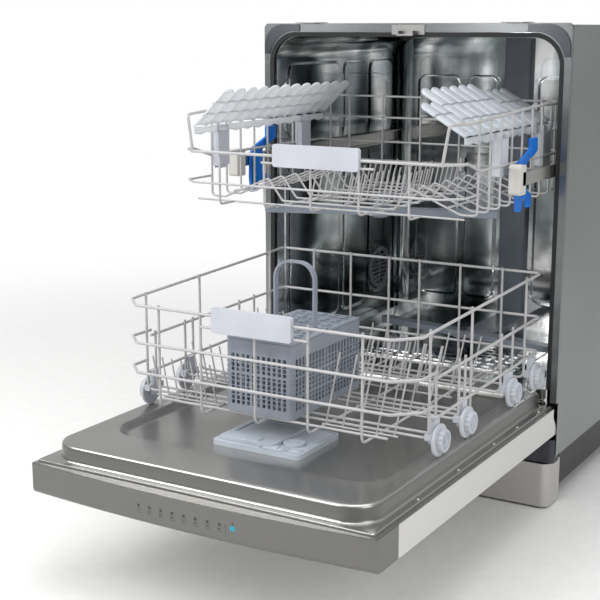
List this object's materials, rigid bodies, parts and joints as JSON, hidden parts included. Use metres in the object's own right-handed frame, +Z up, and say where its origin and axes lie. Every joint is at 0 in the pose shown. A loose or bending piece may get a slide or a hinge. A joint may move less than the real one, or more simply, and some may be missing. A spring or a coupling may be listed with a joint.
{
  "type": "built in dishwasher",
  "caption": "Built under dishwasher, 60 cm class, steel tub, door open flat with both racks out, cutlery basket, cup shelves and two spray arms.",
  "frame": {"origin": "On the floor, under the middle of the overall box of the open machine; the front frame stands 59 mm behind it.", "axes": "+X to the right seen from the front, +Y into the niche, +Z up."},
  "size_m": [0.598, 1.2662, 0.8515],
  "materials": {
    "base_plastic": "moulded",
    "plinth_steel": "brushed",
    "dark_plastic": "moulded",
    "zinc_sheet": "galvanised",
    "tub_steel": "bright",
    "sump_plastic": "moulded",
    "frame_steel": "brushed",
    "seal_rubber": "matte",
    "cap_plastic": "moulded",
    "bracket_steel": "pressed",
    "duct_plastic": "moulded",
    "rail_steel": "bright",
    "ballast_iron": "cast",
    "grey_plastic": "moulded",
    "panel_steel": "brushed",
    "control_steel": "brushed",
    "key_plastic": "gloss",
    "light_plastic": "gloss",
    "bitumen": "matte",
    "dispenser_plastic": "moulded",
    "coated_wire": "nylon coated steel",
    "handle_plastic": "moulded",
    "wheel_plastic": "moulded",
    "basket_plastic": "moulded",
    "white_plastic": "moulded",
    "blue_plastic": "gloss",
    "shelf_plastic": "translucent grey"
  },
  "bodies": {
    "cabinet": {"base_tray": "base_plastic", "levelling_feet": "base_plastic", "plinth": "plinth_steel", "base_fascia": "dark_plastic", "outer_covers": "zinc_sheet", "tub_shell": "tub_steel", "tub_floor": "tub_steel", "sump_well": "sump_plastic", "front_frame": "frame_steel", "door_gasket": "seal_rubber", "corner_covers": "cap_plastic", "latch_catch": "bracket_steel", "worktop_brackets": "bracket_steel", "vent_grille": "sump_plastic", "water_duct": "duct_plastic", "slide_rails": "rail_steel", "filter_plate": "tub_steel", "wash_machinery": "dark_plastic", "rear_ballast": "ballast_iron", "hinge_brackets": "bracket_steel"},
    "filter": {"filter_cup": "sump_plastic"},
    "salt_lid": {"salt_cap": "grey_plastic"},
    "lower_arm": {"lower_spray_arm": "duct_plastic"},
    "door": {"door_liner": "tub_steel", "door_outer_panel": "panel_steel", "control_panel": "control_steel", "touch_keys": "key_plastic", "status_light": "light_plastic", "door_insulation": "bitumen", "hinge_arms": "bracket_steel", "dispenser_housing": "dispenser_plastic"},
    "detergent_cover": {"detergent_lid": "dispenser_plastic"},
    "rinse_cap": {"rinse_aid_cap": "dark_plastic"},
    "lower_rack": {"lower_rack_walls": "coated_wire", "lower_rack_floor": "coated_wire", "lower_rack_handle": "handle_plastic", "wheel_clips": "wheel_plastic"},
    "basket": {"cutlery_basket": "basket_plastic"},
    "lid_front": {"basket_lid_front": "basket_plastic"},
    "lid_rear": {"basket_lid_rear": "basket_plastic"},
    "middle_rails": {"slide_runners": "rail_steel", "runner_end_caps": "white_plastic"},
    "carriage": {"rack_sliders": "rail_steel", "height_levers": "blue_plastic"},
    "upper_rack": {"upper_rack_walls": "coated_wire", "upper_rack_floor": "coated_wire", "upper_rack_handle": "handle_plastic", "shelf_brackets": "handle_plastic", "upper_feed_pipe": "duct_plastic"},
    "shelf_left": {"cup_shelf_left": "shelf_plastic"},
    "shelf_right": {"cup_shelf_right": "shelf_plastic"},
    "upper_arm": {"upper_spray_arm": "duct_plastic"},
    "roller_1": {"wheel_1": "wheel_plastic"},
    "roller_2": {"wheel_2": "wheel_plastic"},
    "roller_3": {"wheel_3": "wheel_plastic"},
    "roller_4": {"wheel_4": "wheel_plastic"},
    "roller_5": {"wheel_5": "wheel_plastic"},
    "roller_6": {"wheel_6": "wheel_plastic"},
    "roller_7": {"wheel_7": "wheel_plastic"},
    "roller_8": {"wheel_8": "wheel_plastic"}
  },
  "joints": [
    {"name": "door_hinge", "type": "hinge", "parent": "cabinet", "child": "door", "pos_m": [0, 0.045, 0.18], "axis": [-1, 0, 0], "range_deg": [-2, 0]},
    {"name": "lower_rack_slide", "type": "slide", "parent": "cabinet", "child": "lower_rack", "axis": [0, 1, 0], "range_m": [0, 0.527]},
    {"name": "roller_1_turn", "type": "hinge", "parent": "lower_rack", "child": "roller_1", "pos_m": [-0.2686, -0.359, 0.2474], "axis": [1, 0, 0], "continuous": true},
    {"name": "roller_2_turn", "type": "hinge", "parent": "lower_rack", "child": "roller_2", "pos_m": [-0.2686, -0.257, 0.2474], "axis": [1, 0, 0], "continuous": true},
    {"name": "roller_3_turn", "type": "hinge", "parent": "lower_rack", "child": "roller_3", "pos_m": [-0.2686, -0.068, 0.2474], "axis": [1, 0, 0], "continuous": true},
    {"name": "roller_4_turn", "type": "hinge", "parent": "lower_rack", "child": "roller_4", "pos_m": [-0.2686, 0.041, 0.2474], "axis": [1, 0, 0], "continuous": true},
    {"name": "roller_5_turn", "type": "hinge", "parent": "lower_rack", "child": "roller_5", "pos_m": [0.2686, -0.359, 0.2474], "axis": [1, 0, 0], "continuous": true},
    {"name": "roller_6_turn", "type": "hinge", "parent": "lower_rack", "child": "roller_6", "pos_m": [0.2686, -0.257, 0.2474], "axis": [1, 0, 0], "continuous": true},
    {"name": "roller_7_turn", "type": "hinge", "parent": "lower_rack", "child": "roller_7", "pos_m": [0.2686, -0.068, 0.2474], "axis": [1, 0, 0], "continuous": true},
    {"name": "roller_8_turn", "type": "hinge", "parent": "lower_rack", "child": "roller_8", "pos_m": [0.2686, 0.041, 0.2474], "axis": [1, 0, 0], "continuous": true},
    {"name": "basket_lift", "type": "slide", "parent": "lower_rack", "child": "basket", "axis": [0, 0, 1], "range_m": [0, 0.03]},
    {"name": "lid_front_hinge", "type": "hinge", "parent": "basket", "child": "lid_front", "pos_m": [-0.0145, -0.314, 0.3746], "axis": [-1, 0, 0], "range_deg": [0, 75]},
    {"name": "lid_rear_hinge", "type": "hinge", "parent": "basket", "child": "lid_rear", "pos_m": [-0.0145, -0.296, 0.3746], "axis": [1, 0, 0], "range_deg": [0, 75]},
    {"name": "upper_rack_slide", "type": "slide", "parent": "cabinet", "child": "carriage", "axis": [0, 1, 0], "range_m": [0, 0.392]},
    {"name": "middle_rail_slide", "type": "slide", "parent": "cabinet", "child": "middle_rails", "axis": [0, 1, 0], "range_m": [0, 0.196]},
    {"name": "upper_rack_height", "type": "slide", "parent": "carriage", "child": "upper_rack", "axis": [0, 0, 1], "range_m": [-0.05, 0]},
    {"name": "shelf_left_fold", "type": "hinge", "parent": "upper_rack", "child": "shelf_left", "pos_m": [-0.238, -0.039, 0.676], "axis": [0, -1, 0], "range_deg": [0, 30]},
    {"name": "shelf_right_fold", "type": "hinge", "parent": "upper_rack", "child": "shelf_right", "pos_m": [0.238, 0.004, 0.676], "axis": [0, 1, 0], "range_deg": [0, 50]},
    {"name": "upper_arm_spin", "type": "hinge", "parent": "upper_rack", "child": "upper_arm", "pos_m": [0, -0.0395, 0.529], "axis": [0, 0, 1], "continuous": true},
    {"name": "lower_arm_spin", "type": "hinge", "parent": "cabinet", "child": "lower_arm", "pos_m": [0, 0.339, 0.232], "axis": [0, 0, 1], "continuous": true},
    {"name": "filter_turn", "type": "hinge", "parent": "cabinet", "child": "filter", "pos_m": [0, 0.279, 0.19], "axis": [0, 0, 1], "range_deg": [0, 90]},
    {"name": "salt_lid_turn", "type": "hinge", "parent": "cabinet", "child": "salt_lid", "pos_m": [-0.118, 0.279, 0.2], "axis": [0, 0, 1], "range_deg": [0, 90]},
    {"name": "detergent_cover_slide", "type": "slide", "parent": "door", "child": "detergent_cover", "axis": [0, 1, 0], "range_m": [0, 0.075]},
    {"name": "rinse_cap_turn", "type": "hinge", "parent": "door", "child": "rinse_cap", "pos_m": [0.046, -0.409, 0.2165], "axis": [0, 0, 1], "range_deg": [0, 90]}
  ],
  "couplings": [
    {"joint": "middle_rail_slide", "follows": "upper_rack_slide", "ratio": 0.5}
  ]
}
